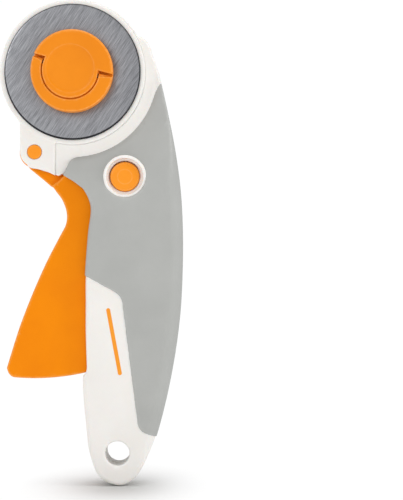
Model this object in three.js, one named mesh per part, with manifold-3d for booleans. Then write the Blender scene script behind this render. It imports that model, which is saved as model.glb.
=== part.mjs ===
// Rotary cutter with a squeeze trigger, for quilting fabric. Units are millimetres.
//
// The shapes are drawn in the tool's own face frame: the blade axis is x = y = 0, y runs up the
// handle, z comes out of the blade face and z = 0 is the plane where the two handle shells meet.
// addNode() then stands the tool up: x stays, y becomes +Z and z becomes -Y, with Y = 0 on the
// flat rest pad behind the head.

import * as THREE from 'three';
import { mergeVertices } from 'three/addons/utils/BufferGeometryUtils.js';
import Module from 'manifold-3d';

const wasm = await Module();
wasm.setup();

// ---------------------------------------------------------------- driving dimensions

const DEG = Math.PI / 180;

function polar(centre, radius, degrees) {
  return [centre[0] + radius * Math.cos(degrees * DEG), centre[1] + radius * Math.sin(degrees * DEG)];
}

const BLADE_R = 22.5;          // a standard 45 mm blade
const BLADE_THICK = 0.3;
const BLADE_Z = 7.0;
const BLADE_HOLE_R = 4.08;

const GUARD_R = 24.0;
const GUARD_BACK = 4.4;
const GUARD_TOP = 6.6;
const RECESS_R = 24.4;         // the guard sits in this recess of the front shell
const DECK_BACK = 1.8;
const DECK_TOP = 4.1;
const HEAD_R = 24.1;
const HEAD_CENTRE = [0.45, 0.35];
const DISH_R = 28.0;           // the grip starts where the dished head area ends
const DISH_FLOOR = 6.0;
const NOSE_TOP = 5.2;

const KNOB_R = 13.6;
const KNOB_BACK = 7.65;
const KNOB_TOP = 12.2;

const PIVOT = [-12.62, -26.4];  // trigger pivot pin
const PIN_R = 2.34;
const SWING = 15;               // trigger travel in degrees
const TONGUE_R = 5.03;
const SHOULDER_R = 12.3;        // the thick part of the trigger starts here
const TRIGGER_FOOT_R = 74.9;    // its bottom edge is an arc about the pin
const TRIGGER_HALF = 5.6;
const TONGUE_HALF = 3.0;
const PLATE_HALF = 1.0;

const LOCK = [17.4, -34.7];
const LOCK_R = 4.86;
const LOCK_RING_R = 6.8;
const LOCK_DIMPLE = 8.7;        // height of the white ring's inner edge round the button

const HANG = [14.8, -126.0];
const HANG_R = 4.0;

const FRONT = 11.4;             // grip height over the parting plane, beside the lock button
const REAR = 9.3;
const FRONT_TAPER = 0.00395;    // the front slopes down to the tail by this share per millimetre
const TAPER_FROM = -35;
const PROUD = 0.3;              // the grip stands this far proud of the white plastic
const SKIN = 1.5;               // grip thickness
const WALL = 2.2;
const REST_PAD_R = 20;
const REST_Z = -9.5;
const EDGE_ROUND = 3.2;
const PARTING = 0.05;           // half the gap between front and rear pieces

const ARM_LENGTH = Math.hypot(PIVOT[0], PIVOT[1]);
const ARM_ANGLE = Math.atan2(-PIVOT[1], -PIVOT[0]);

const SHELL_SCREWS = [[8, 19.4], [27.2, -13.5], [30.8, -62], [23.8, -109.5], [9.6, -109.5]];
const GUARD_SCREW_ANGLES = [120, 200, 330];
const GUARD_SCREW_R = 18.5;
const CARRIER_SCREWS = [polar(PIVOT, 6.2, -24), polar(PIVOT, 5.2, -58)];

// ---------------------------------------------------------------- solid helpers

function solid(geometry) {
  const bare = geometry.clone();
  bare.deleteAttribute('normal');
  bare.deleteAttribute('uv');
  const merged = mergeVertices(bare, 1e-4);
  return new wasm.Manifold(new wasm.Mesh({
    numProp: 3,
    vertProperties: new Float32Array(merged.attributes.position.array),
    triVerts: new Uint32Array(merged.index.array),
  }));
}

function union(parts) {
  return parts.reduce((all, part) => all.add(part));
}

function cylinder(radius, z0, z1, centre = [0, 0], segments = 36) {
  const geometry = new THREE.CylinderGeometry(radius, radius, z1 - z0, segments);
  geometry.rotateX(Math.PI / 2);
  geometry.translate(centre[0], centre[1], (z0 + z1) / 2);
  return solid(geometry);
}

function box(x0, x1, y0, y1, z0, z1) {
  const geometry = new THREE.BoxGeometry(x1 - x0, y1 - y0, z1 - z0);
  geometry.translate((x0 + x1) / 2, (y0 + y1) / 2, (z0 + z1) / 2);
  return solid(geometry);
}

// Turns a closed profile of [radius, z] points about the z axis through centre.
function turned(profile, centre = [0, 0], segments = 40) {
  const points = [...profile, profile[0]].map(([r, z]) => new THREE.Vector2(r, z));
  const geometry = new THREE.LatheGeometry(points, segments);
  geometry.rotateX(Math.PI / 2);
  geometry.translate(centre[0], centre[1], 0);
  return solid(geometry);
}

function slab(shape, z0, z1, curveSegments = 8) {
  const geometry = new THREE.ExtrudeGeometry(shape, { depth: z1 - z0, bevelEnabled: false, curveSegments });
  geometry.translate(0, 0, z0);
  return solid(geometry);
}

// A slab whose front and rear edges are rounded, with its outline moved in by inset.
function roundedSlab(shape, z0, z1, round, inset = 0, bevelSegments = 2, curveSegments = 2) {
  const geometry = new THREE.ExtrudeGeometry(shape, {
    depth: z1 - z0 - 2 * round,
    bevelThickness: round,
    bevelSize: round,
    bevelOffset: -round - inset,
    bevelSegments,
    curveSegments,
  });
  geometry.translate(0, 0, z0 + round);
  return geometry;
}

function polygon(points) {
  return new THREE.Shape(points.map(([x, y]) => new THREE.Vector2(x, y)));
}

function vectors(points) {
  return points.map(([x, y]) => new THREE.Vector2(x, y));
}

// ---------------------------------------------------------------- outlines

const SPINE = [
  [28.5, 0], [31.2, -12], [34.1, -27], [35.9, -42], [36.4, -60],
  [35.45, -81], [32.5, -101], [28.2, -119], [24.1, -129.4],
];

function handleOutline() {
  const shape = new THREE.Shape();
  shape.moveTo(3.3, -23.5);
  shape.lineTo(-2.9, -34.2);
  shape.lineTo(3.6, -38.6);
  shape.splineThru(vectors([[5.3, -41.6], [6.2, -45.7], [5.2, -54], [4.15, -68], [4.1, -78], [3.7, -90]]));
  shape.splineThru(vectors([[3.1, -100.8], [3.43, -109], [4.9, -124.5]]));
  shape.splineThru(vectors([[7.4, -132.3], [11, -135.8], [16.3, -137], [21, -134.3], [24.1, -129.4]]));
  shape.splineThru(vectors([...SPINE].reverse().slice(1)));
  shape.splineThru(vectors([[26.6, 5.2], [21.8, 10.4]]));
  shape.lineTo(11, 14);
  return shape;
}

// The soft grip: it follows the dished area round the head, runs down the trigger side, crosses
// the handle and goes on as a strip along the spine.
function gripOutline() {
  const shape = new THREE.Shape();
  shape.moveTo(...polar([0, 0], DISH_R, 20));
  shape.absarc(0, 0, DISH_R, 20 * DEG, -85 * DEG, true);
  shape.quadraticCurveTo(0.6, -28.7, 0, -29.4);
  shape.lineTo(-3.6, -35.4);
  shape.lineTo(-3.6, -66.1);
  shape.lineTo(4.1, -67.2);
  shape.lineTo(13.4, -72.2);
  shape.quadraticCurveTo(16.1, -73.6, 16.5, -76.2);
  shape.lineTo(21.4, -115.4);
  shape.quadraticCurveTo(21.8, -118.7, 24.6, -119.6);
  shape.lineTo(40, -125);
  shape.lineTo(40, 9.6);
  return shape;
}

// A pie slice round the pivot pin.
function sector(radius, from, to) {
  const shape = new THREE.Shape();
  shape.moveTo(...PIVOT);
  shape.lineTo(...polar(PIVOT, radius, from));
  shape.absarc(PIVOT[0], PIVOT[1], radius, from * DEG, to * DEG, false);
  return shape;
}

function lugOutline(grow, right) {
  const shape = new THREE.Shape();
  const corner = TONGUE_R - 0.25 + grow;
  shape.moveTo(PIVOT[0] - corner, -12);
  shape.lineTo(PIVOT[0] - corner, PIVOT[1]);
  shape.absarc(PIVOT[0], PIVOT[1], corner, Math.PI, Math.PI + 58 * DEG, false);
  shape.splineThru(vectors([[-14.2, -31.5 - grow], [-11.2, -32.1 - grow], [-7.7, -33.2 - grow]]));
  shape.lineTo(right, -34.2 - grow);
  shape.lineTo(right, -12);
  return shape;
}

function triggerOutline() {
  const shape = new THREE.Shape();
  shape.moveTo(...polar(PIVOT, SHOULDER_R, -63));
  shape.absarc(PIVOT[0], PIVOT[1], SHOULDER_R, -63 * DEG, -34 * DEG, false);
  shape.lineTo(5.0, -38.8);
  shape.lineTo(6.9, -45);
  shape.lineTo(8.2, -52);
  shape.lineTo(...polar(PIVOT, TRIGGER_FOOT_R, -73.6));
  shape.absarc(PIVOT[0], PIVOT[1], TRIGGER_FOOT_R, -73.6 * DEG, -95.2 * DEG, true);
  shape.quadraticCurveTo(-21.4, -100.6, -21.9, -97.8);
  shape.splineThru(vectors([
    [-18.2, -85.9], [-15.3, -78], [-12, -70], [-8.4, -62.1], [-4.3, -54.2],
    [-2.3, -50.2], [-2.1, -46.3], [-3.5, -42.3], [-5.4, -39.7],
  ]));
  return shape;
}

// The swing slot: the band swept by a round of this radius on the arm, plus its round ends.
function swingSlot(radius) {
  const far = ARM_ANGLE + SWING * DEG;
  const end = [PIVOT[0] + ARM_LENGTH * Math.cos(far), PIVOT[1] + ARM_LENGTH * Math.sin(far)];
  const shape = new THREE.Shape();
  shape.absarc(PIVOT[0], PIVOT[1], ARM_LENGTH + radius, ARM_ANGLE, far, false);
  shape.absarc(end[0], end[1], radius, far, far + Math.PI, false);
  shape.absarc(PIVOT[0], PIVOT[1], ARM_LENGTH - radius, far, ARM_ANGLE, true);
  shape.absarc(0, 0, radius, ARM_ANGLE + Math.PI, ARM_ANGLE + 2 * Math.PI, false);
  return shape;
}

// Where the thick part of the trigger moves inside the handle, open on the finger side.
function triggerSlotOutline() {
  const shape = new THREE.Shape();
  shape.absarc(PIVOT[0], PIVOT[1], SHOULDER_R - 0.3, -100 * DEG, -16 * DEG, false);
  shape.lineTo(8.3, -33.4);
  shape.lineTo(11.6, -38.9);
  shape.lineTo(15, -45.5);
  shape.lineTo(18.8, -60);
  shape.lineTo(...polar(PIVOT, TRIGGER_FOOT_R + 0.5, -57.2));
  shape.absarc(PIVOT[0], PIVOT[1], TRIGGER_FOOT_R + 0.5, -57.2 * DEG, -100 * DEG, true);
  return shape;
}

// ---------------------------------------------------------------- the handle body

// The whole handle from rear to front; everything in front of z = 0 thins toward the tail.
function handleBody(inset, front, rear, round = EDGE_ROUND, bevelSegments = 2, curveSegments = 2) {
  const geometry = roundedSlab(handleOutline(), -rear, front, round, inset, bevelSegments, curveSegments);
  const position = geometry.attributes.position;
  for (let i = 0; i < position.count; i += 1) {
    const z = position.getZ(i);
    if (z > 0) {
      position.setZ(i, z * (1 + FRONT_TAPER * (position.getY(i) - TAPER_FROM)));
    }
  }
  return solid(geometry);
}

// Cuts the round dished area in front of the head; deeper makes the cut for the shell under the grip.
function dishCut(deeper) {
  const r = DISH_R + deeper;
  const z = DISH_FLOOR - deeper;
  return turned([
    [0, z], [r - 0.6, z], [r, z + 0.3], [r + 1.2, z + 1.5], [r + 6, z + 3.1],
    [r + 12, z + 4.4], [r + 20, z + 5.4], [r + 30, z + 6.1], [r + 30, 16], [0, 16],
  ], [0, 0], 40);
}

const everythingFront = box(-60, 60, -160, 60, PARTING, 40);
const everythingRear = box(-60, 60, -160, 60, -40, -PARTING);
const dish = dishCut(0);
const gripArea = slab(gripOutline(), -20, 20, 8);
const core = handleBody(SKIN, FRONT - PROUD - SKIN, REAR - SKIN, EDGE_ROUND, 1, 1).subtract(dishCut(SKIN));
const gripBed = handleBody(SKIN - 0.05, FRONT - PROUD - SKIN + 0.05, REAR - SKIN + 0.05, EDGE_ROUND, 1, 1)
  .subtract(dishCut(SKIN - 0.05));
const gripVoid = gripArea.subtract(core);

const triggerSlot = slab(triggerSlotOutline(), -TRIGGER_HALF - 0.3, TRIGGER_HALF + 0.3);
const tongueChamber = cylinder(SHOULDER_R + 0.3, -TONGUE_HALF - 0.3, TONGUE_HALF + 0.3, PIVOT, 48)
  .subtract(cylinder(HEAD_R - 0.3, -5, 5, [0, 0], 64));
const armOpening = cylinder(9.6, -PLATE_HALF - 0.6, PLATE_HALF + 0.6, PIVOT)
  .add(box(-16.0, -12.3, -18.2, -14.9, -PLATE_HALF - 0.6, PLATE_HALF + 0.6));
const trimAboveStep = slab(polygon([
  [4.15, -80], [4.8, -97.8], [4.4, -99.5], [2.6, -100.9], [-8, -100.9], [-8, -80],
]), -20, 20);
const hangHole = cylinder(HANG_R, -20, 20, HANG);

function shellCavity() {
  const handle = handleBody(SKIN + WALL, FRONT - PROUD - SKIN - 1.7, REAR - SKIN - 1.5, 1.2, 1, 1)
    .intersect(box(-60, 60, -117.5, 60, -40, 40));
  const underDish = dishCut(SKIN + 1.6).add(cylinder(DISH_R + 3, DECK_BACK, 40, [0, 0], 64));
  const rib = turned([
    [TRIGGER_FOOT_R + 0.5, -20], [TRIGGER_FOOT_R + 2.6, -20], [TRIGGER_FOOT_R + 2.6, 20], [TRIGGER_FOOT_R + 0.5, 20],
  ], PIVOT, 72);
  const bosses = SHELL_SCREWS.map((at) => cylinder(3.3, -20, 20, at, 20));
  const head = cylinder(HEAD_R - WALL - 0.3, -7, DECK_BACK, [0, 0], 64);
  return handle
    .subtract(underDish)
    .add(head)
    .subtract(rib)
    .subtract(cylinder(LOCK_RING_R, -20, 20, LOCK))
    .subtract(union(bosses));
}

const cavity = shellCavity();

function headPlate(z0, z1) {
  const shoulder = new THREE.Shape();
  shoulder.moveTo(10, -12);
  shoulder.lineTo(28.4, -0.3);
  shoulder.splineThru(vectors([[26.9, 3.9], [26.1, 7], [25, 9.6], [23.4, 11.2], [21.2, 12.6]]));
  shoulder.lineTo(10, 10);
  return cylinder(HEAD_R, z0, z1, HEAD_CENTRE, 96).add(slab(shoulder, z0, z1, 2));
}

// ---------------------------------------------------------------- shells and grips

function frontShell() {
  const lockRing = turned([[4.95, 0], [LOCK_RING_R, 0], [LOCK_RING_R, 20], [4.95, 20]], LOCK, 30)
    .intersect(handleBody(PROUD, FRONT - PROUD, REAR - PROUD))
    .subtract(dish)
    .subtract(turned([[0, LOCK_DIMPLE], [5.0, LOCK_DIMPLE], [LOCK_RING_R + 2, 12.6], [0, 12.6]], LOCK, 30));
  const nose = slab(polygon([
    [-5.4, -21], [-5.4, -34.5], [-2.4, -34.5], [3, -35], [3, -21],
  ]), 0, NOSE_TOP);
  const lugPocket = box(-6, -2.8, -26.6, -24.8, 3.9, 8);
  const outer = handleBody(PROUD, FRONT - PROUD, REAR - PROUD)
    .add(headPlate(0, DISH_FLOOR))
    .add(nose)
    .subtract(dish)
    .subtract(gripVoid)
    .subtract(cylinder(RECESS_R, DECK_TOP, 20, [0, 0], 64));
  return outer
    .intersect(everythingFront)
    .subtract(slab(lugOutline(0.3, -5.42), TONGUE_HALF, 20).subtract(cylinder(RECESS_R, 0, DECK_TOP, [0, 0], 64)))
    .subtract(cavity)
    .subtract(triggerSlot)
    .subtract(tongueChamber)
    .subtract(armOpening)
    .subtract(slab(swingSlot(5.6), -1, 20, 6))
    .subtract(trimAboveStep)
    .subtract(lugPocket)
    .subtract(hangHole)
    .subtract(cylinder(4.95, -1, 20, LOCK))
    .add(lockRing.intersect(everythingFront))
    .subtract(union(SHELL_SCREWS.map((at) => cylinder(1.25, -1, 3.2, at, 16))))
    .subtract(union(GUARD_SCREW_ANGLES.map((a) => cylinder(1.15, 1, 6, polar([0, 0], GUARD_SCREW_R, a), 16))));
}

function rearShell() {
  const white = REAR - PROUD;
  const lug = slab(lugOutline(0, -4), -white, -TONGUE_HALF - 0.3);
  const nose = slab(polygon([[-6, -21], [-6, -34.3], [-2.4, -34.4], [3, -35], [3, -21]]), -white, 0);
  const springFan = sector(9.4, -66, -2);
  const screwSeats = SHELL_SCREWS.map((at) => cylinder(1.55, -20, 1, at, 16).add(cylinder(2.9, -20, -6.6, at, 20)));
  const pinSeat = cylinder(PIN_R + 0.08, -20, 0, PIVOT).add(cylinder(4, -20, -8, PIVOT));
  return handleBody(PROUD, FRONT - PROUD, white)
    .add(headPlate(-white, 0))
    .add(nose)
    .add(lug)
    .subtract(gripVoid)
    .intersect(everythingRear)
    .add(cylinder(REST_PAD_R, REST_Z, -white + 0.5, [0, 0], 64))
    .subtract(cavity)
    .subtract(triggerSlot)
    .subtract(tongueChamber)
    .subtract(armOpening)
    .subtract(trimAboveStep)
    .subtract(hangHole)
    .add(cylinder(LOCK_RING_R, -REAR, -PARTING, LOCK))
    .subtract(cylinder(4.95, -20, 1, LOCK))
    .subtract(cylinder(5.8, -5.6, 1, LOCK))
    .subtract(cylinder(4.7, -6.4, 0, PIVOT))
    .subtract(slab(springFan, -6.4, 0))
    .subtract(pinSeat)
    .subtract(union(screwSeats));
}

function grip(half) {
  return handleBody(0, FRONT, REAR)
    .intersect(gripArea)
    .intersect(half)
    .subtract(dish)
    .subtract(gripBed)
    .subtract(triggerSlot)
    .subtract(union(SHELL_SCREWS.map((at) => cylinder(2.9, -20, -5, at, 20))))
    .subtract(cylinder(LOCK_RING_R + 0.1, -20, 20, LOCK));
}

// ---------------------------------------------------------------- guard, trigger and blade drive

function guard() {
  const lug = slab(lugOutline(0, -5.75), TONGUE_HALF + 0.35, GUARD_TOP)
    .subtract(cylinder(RECESS_R, 0, GUARD_BACK, [0, 0], 64));
  const screwSeat = [[0, 3], [1.3, 3], [1.3, 5.2], [2.4, 6.3], [2.4, 9], [0, 9]];
  const seats = GUARD_SCREW_ANGLES.map((a) => turned(screwSeat, polar([0, 0], GUARD_SCREW_R, a), 16));
  const plate = turned([
    [0, GUARD_BACK], [GUARD_R, GUARD_BACK], [GUARD_R, GUARD_TOP - 0.4], [GUARD_R - 0.4, GUARD_TOP], [0, GUARD_TOP],
  ], [0, 0], 64);
  return plate
    .add(lug)
    .subtract(slab(swingSlot(5.6), 0, 20, 6))
    .subtract(cylinder(PIN_R + 0.06, 0, 20, PIVOT))
    .subtract(union(seats));
}

function trigger() {
  const main = solid(roundedSlab(triggerOutline(), -TRIGGER_HALF, TRIGGER_HALF, 0.75, 0, 2, 2));
  const tongue = cylinder(TONGUE_R, -TONGUE_HALF, TONGUE_HALF, PIVOT, 40).add(slab(polygon([
    [-15.2, -30.6], [-14.5, -31.8], [-9.7, -35.7], [-7.4, -37.7], [-5.2, -38.4], [-1.5, -38], [-2.1, -32.4], [-9.3, -22.7],
  ]), -TONGUE_HALF, TONGUE_HALF));
  const hollow = slab(polygon([
    [0.5, -47], [12, -50], [12, -95.6], [-15.6, -96.6], [-9.4, -76], [-1.4, -57],
  ]), -TRIGGER_HALF + 1.8, TRIGGER_HALF - 1.8);
  const plateSlot = cylinder(9.6, -PLATE_HALF - 0.05, PLATE_HALF + 0.05, PIVOT, 40);
  const screwSeats = CARRIER_SCREWS.map((at) => cylinder(1.0, -2.6, 5, at, 12).add(cylinder(1.4, 2.0, 5, at, 16)));
  return main
    .add(tongue)
    .subtract(hollow)
    .subtract(plateSlot)
    .subtract(cylinder(PIN_R + 0.08, -9, 9, PIVOT))
    .subtract(cylinder(0.95, -4, -1.5, polar(PIVOT, 3.6, 148), 16))
    .subtract(union(screwSeats));
}

// Steel plate that hangs the blade spindle on the trigger: foot, pivot eye, arm and hub.
function bladeCarrier() {
  const foot = sector(8.7, -72, -10);
  const side = [Math.sin(ARM_ANGLE), -Math.cos(ARM_ANGLE)];
  const arm = polygon([
    [PIVOT[0] + 4.1 * side[0], PIVOT[1] + 4.1 * side[1]],
    [5.0 * side[0], 5.0 * side[1]],
    [-5.0 * side[0], -5.0 * side[1]],
    [PIVOT[0] - 4.1 * side[0], PIVOT[1] - 4.1 * side[1]],
  ]);
  const middle = [PIVOT[0] * 0.52, PIVOT[1] * 0.52];
  const holes = CARRIER_SCREWS.map((at) => cylinder(0.95, -9, 9, at, 12));
  return slab(foot, -PLATE_HALF, PLATE_HALF)
    .add(cylinder(4.8, -PLATE_HALF, PLATE_HALF, PIVOT))
    .add(slab(arm, -PLATE_HALF, PLATE_HALF))
    .add(cylinder(6.6, -PLATE_HALF, PLATE_HALF))
    .subtract(cylinder(PIN_R + 0.2, -9, 9, PIVOT))
    .subtract(cylinder(2.6, -9, 9))
    .subtract(cylinder(2.1, -9, 9, middle, 32))
    .subtract(union(holes));
}

function pivotPin() {
  return turned([
    [0, -8.9], [3.7, -8.9], [3.9, -8.7], [3.9, -8.05], [PIN_R, -8.05],
    [PIN_R, 6.75], [PIN_R - 0.3, 7.0 - 0.12], [0, 7.0 - 0.12],
  ], PIVOT, 28);
}

// Torsion spring round the pin: a coil with one leg up into the trigger and one leg on the shell.
function returnSpring() {
  const coilR = 3.6;
  const points = [];
  const legEnd = polar(PIVOT, 8.6, -23);
  points.push(new THREE.Vector3(legEnd[0], legEnd[1], -5.9));
  for (let a = -70; a <= 870; a += 40) {
    const [x, y] = polar(PIVOT, coilR, a);
    points.push(new THREE.Vector3(x, y, -5.9 + 1.95 * Math.max(0, a + 70) / 940));
  }
  const [hookX, hookY] = polar(PIVOT, coilR, 150);
  points.push(new THREE.Vector3(hookX, hookY, -2.4));
  const wire = new THREE.Shape();
  wire.absarc(0, 0, 0.4, 0, 2 * Math.PI, false);
  const path = new THREE.CatmullRomCurve3(points, false, 'centripetal');
  return solid(new THREE.ExtrudeGeometry(wire, { steps: 56, extrudePath: path, curveSegments: 3 }));
}

function arbor() {
  return turned([
    [1.1, -1.0], [2.5, -1.0], [2.5, 1.05], [5, 1.05], [5, 6.5], [5.3, 6.7], [5.3, 6.95], [4, 6.95],
    [4, 7.45], [2.5, 7.45], [2.5, 10.4], [2.1, 10.8], [0, 10.8], [0, 4.4], [1.1, 4.4],
  ], [0, 0], 32);
}

function blade() {
  const mid = BLADE_Z + BLADE_THICK / 2;
  return turned([
    [BLADE_HOLE_R, BLADE_Z], [BLADE_R - 0.6, BLADE_Z], [BLADE_R, mid],
    [BLADE_R - 0.6, BLADE_Z + BLADE_THICK], [BLADE_HOLE_R, BLADE_Z + BLADE_THICK],
  ], [0, 0], 80);
}

// ---------------------------------------------------------------- knob

const BAIL_TILT = -15;          // the bail hinges on a line tilted like this across the knob
const BAIL_AXIS_V = 0.55;       // distance of that line above the knob centre
const BAIL_AXIS_Z = 10.6;
const BAIL_HALF = 1.4;
const BAIL_IN = 9.7;
const BAIL_OUT = 13.5;

// Cuts in the knob are drawn with the hinge line along x, then turned to the tilt.
function tilted(shape) {
  return shape.rotate([0, 0, BAIL_TILT]);
}

function alongHinge(radius, u0, u1, segments = 24) {
  const geometry = new THREE.CylinderGeometry(radius, radius, u1 - u0, segments);
  geometry.rotateZ(Math.PI / 2);
  geometry.translate((u0 + u1) / 2, BAIL_AXIS_V, BAIL_AXIS_Z);
  return solid(geometry);
}

function knob() {
  const body = turned([
    [0, KNOB_BACK], [KNOB_R - 0.5, KNOB_BACK], [KNOB_R, KNOB_BACK + 0.5], [KNOB_R, KNOB_TOP - 0.9],
    [KNOB_R - 0.3, KNOB_TOP - 0.3], [KNOB_R - 1, KNOB_TOP], [7.8, KNOB_TOP], [7.3, KNOB_TOP - 0.3],
    [0, KNOB_TOP - 0.3],
  ], [0, 0], 64);
  const bailBed = turned([[9.4, 8.9], [20, 8.9], [20, 20], [9.4, 20]], [0, 0], 64)
    .intersect(box(-30, 30, -30, BAIL_AXIS_V + BAIL_HALF + 0.3, 0, 30));
  const pinHoles = alongHinge(0.8, -9.5, -7.6).add(alongHinge(0.8, 7.6, 9.5));
  return body
    .subtract(tilted(bailBed))
    .subtract(tilted(pinHoles))
    .subtract(cylinder(4.35, 0, 11.25, [0, 0], 24));
}

function knobBail() {
  const ring = turned([
    [BAIL_IN, BAIL_AXIS_Z - BAIL_HALF], [BAIL_OUT, BAIL_AXIS_Z - BAIL_HALF],
    [BAIL_OUT, BAIL_AXIS_Z + BAIL_HALF - 0.7], [BAIL_OUT - 0.6, BAIL_AXIS_Z + BAIL_HALF],
    [BAIL_IN, BAIL_AXIS_Z + BAIL_HALF],
  ], [0, 0], 64);
  const lower = ring.intersect(box(-30, 30, -30, BAIL_AXIS_V, 0, 30));
  const ends = ring.intersect(alongHinge(BAIL_HALF, -20, 20, 32));
  return tilted(lower.add(ends).subtract(alongHinge(0.88, -20, 20)));
}

function bailPin(side) {
  return tilted(side > 0 ? alongHinge(0.78, 7.7, 13) : alongHinge(0.78, -13, -7.7));
}

function knobNut() {
  return cylinder(4.3, 7.7, 11.2, [0, 0], 24).subtract(cylinder(2.58, 0, 20));
}

function washer() {
  return turned([[4.1, 7.36], [8.2, 7.36], [8.2, 7.6], [4.1, 7.6]], [0, 0], 64);
}

// ---------------------------------------------------------------- lock button and screws

function lockButton() {
  return turned([
    [0, -7.1], [4.3, -7.1], [LOCK_R, -6.6], [LOCK_R, -3.3], [3.9, -3.3], [3.9, -2.1], [LOCK_R, -2.1],
    [LOCK_R, 9.3], [4.5, 9.65], [2.4, 9.8], [0, 9.85],
  ], LOCK, 30);
}

function lockClip() {
  const ring = turned([[4.0, -3.2], [5.5, -3.2], [5.5, -2.2], [4.0, -2.2]], LOCK, 30);
  const [x, y] = LOCK;
  return ring.subtract(box(x - 1.4, x + 1.4, y, y + 9, -9, 9));
}

// A cross-recessed screw with its head on the rear (direction -1) or front (direction +1) side.
function screw(at, seat, tip, headR, headHeight, shankR, countersunk) {
  const out = Math.sign(seat - tip);
  const top = seat + out * headHeight;
  const profile = countersunk
    ? [[0, tip], [shankR, tip], [shankR, seat], [headR, top], [0, top]]
    : [[0, tip], [shankR, tip], [shankR, seat], [headR, seat], [headR, top - out * 0.4], [headR - 0.4, top], [0, top]];
  const ordered = out > 0 ? profile : [...profile].reverse();
  const [x, y] = at;
  const low = Math.min(top - out * 0.7, top + out);
  const high = Math.max(top - out * 0.7, top + out);
  const arm = headR * 0.62;
  const cross = box(x - arm, x + arm, y - 0.3, y + 0.3, low, high).add(box(x - 0.3, x + 0.3, y - arm, y + arm, low, high));
  return turned(ordered, at, 14).subtract(cross);
}

// ---------------------------------------------------------------- scene graph

const cutter = new THREE.Group();
cutter.name = 'rotary_cutter';

const TO_WORLD = new THREE.Matrix4().set(
  1, 0, 0, 0,
  0, 0, -1, REST_Z,
  0, 1, 0, 0,
  0, 0, 0, 1,
);

const WHITE = { color: 0xf2f0ec, roughness: 0.42, metalness: 0 };
const GREY = { color: 0xb2b3b0, roughness: 0.78, metalness: 0 };
const ORANGE = { color: 0xf79423, roughness: 0.4, metalness: 0 };
const DEEP_ORANGE = { color: 0xf08a0c, roughness: 0.42, metalness: 0 };
const STEEL = { color: 0x96989e, roughness: 0.28, metalness: 1 };
const DARK_STEEL = { color: 0x5c5e63, roughness: 0.4, metalness: 1 };
const BRASS = { color: 0xb8974a, roughness: 0.35, metalness: 1 };

function addNode(name, manifold, look) {
  const mesh = manifold.getMesh();
  const geometry = new THREE.BufferGeometry();
  geometry.setAttribute('position', new THREE.BufferAttribute(new Float32Array(mesh.vertProperties), 3));
  geometry.setIndex(new THREE.BufferAttribute(new Uint32Array(mesh.triVerts), 1));
  geometry.applyMatrix4(TO_WORLD);
  geometry.computeVertexNormals();
  const node = new THREE.Mesh(geometry, new THREE.MeshStandardMaterial(look));
  node.name = name;
  cutter.add(node);
}

addNode('front_shell', frontShell(), WHITE);
addNode('rear_shell', rearShell(), WHITE);
addNode('front_grip', grip(everythingFront), GREY);
addNode('rear_grip', grip(everythingRear), GREY);
addNode('guard', guard(), WHITE);
addNode('trigger', trigger(), DEEP_ORANGE);
addNode('trigger_pivot_pin', pivotPin(), ORANGE);
addNode('trigger_return_spring', returnSpring(), STEEL);
addNode('blade_carrier', bladeCarrier(), DARK_STEEL);
addNode('arbor', arbor(), STEEL);
addNode('arbor_screw', screw([0, 0], -1.1, 4.2, 3.2, 1.6, 1.0, false), DARK_STEEL);
addNode('blade', blade(), STEEL);
addNode('blade_washer', washer(), DARK_STEEL);
addNode('knob', knob(), ORANGE);
addNode('knob_nut', knobNut(), BRASS);
addNode('knob_bail', knobBail(), ORANGE);
addNode('bail_pin_left', bailPin(-1), STEEL);
addNode('bail_pin_right', bailPin(1), STEEL);
addNode('lock_button', lockButton(), ORANGE);
addNode('lock_button_clip', lockClip(), STEEL);
SHELL_SCREWS.forEach((at, i) => {
  addNode(`shell_screw_${i + 1}`, screw(at, -6.65, 3.0, 2.6, 1.5, 1.15, false), DARK_STEEL);
});
GUARD_SCREW_ANGLES.forEach((a, i) => {
  const at = polar([0, 0], GUARD_SCREW_R, a);
  addNode(`guard_screw_${i + 1}`, screw(at, 5.15, 2.2, 2.2, 1.1, 1.05, true), DARK_STEEL);
});
CARRIER_SCREWS.forEach((at, i) => {
  addNode(`carrier_screw_${i + 1}`, screw(at, 2.05, -2.5, 1.3, 0.8, 0.85, false), DARK_STEEL);
});

export default cutter;
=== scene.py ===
import math

import bpy
import numpy as np
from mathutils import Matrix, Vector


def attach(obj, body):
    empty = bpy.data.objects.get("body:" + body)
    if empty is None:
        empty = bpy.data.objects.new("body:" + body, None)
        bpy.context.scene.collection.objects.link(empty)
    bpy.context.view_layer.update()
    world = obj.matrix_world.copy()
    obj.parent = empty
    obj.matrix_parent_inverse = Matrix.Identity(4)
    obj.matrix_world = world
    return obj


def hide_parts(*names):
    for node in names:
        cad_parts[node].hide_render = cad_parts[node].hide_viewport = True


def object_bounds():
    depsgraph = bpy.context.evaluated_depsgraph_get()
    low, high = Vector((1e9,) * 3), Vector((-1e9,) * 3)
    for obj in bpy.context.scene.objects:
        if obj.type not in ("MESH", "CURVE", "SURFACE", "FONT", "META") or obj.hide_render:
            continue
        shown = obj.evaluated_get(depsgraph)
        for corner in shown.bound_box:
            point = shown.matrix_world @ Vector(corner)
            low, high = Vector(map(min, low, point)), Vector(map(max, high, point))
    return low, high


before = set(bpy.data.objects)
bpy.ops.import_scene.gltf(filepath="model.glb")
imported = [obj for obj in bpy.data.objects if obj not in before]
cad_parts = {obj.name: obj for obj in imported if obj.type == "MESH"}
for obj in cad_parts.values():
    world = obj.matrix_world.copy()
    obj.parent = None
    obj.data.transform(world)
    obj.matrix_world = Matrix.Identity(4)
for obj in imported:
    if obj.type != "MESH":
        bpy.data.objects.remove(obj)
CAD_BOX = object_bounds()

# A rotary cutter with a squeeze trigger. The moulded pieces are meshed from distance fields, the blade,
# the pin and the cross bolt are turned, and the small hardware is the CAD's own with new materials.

import openvdb
from mathutils import Vector

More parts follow.
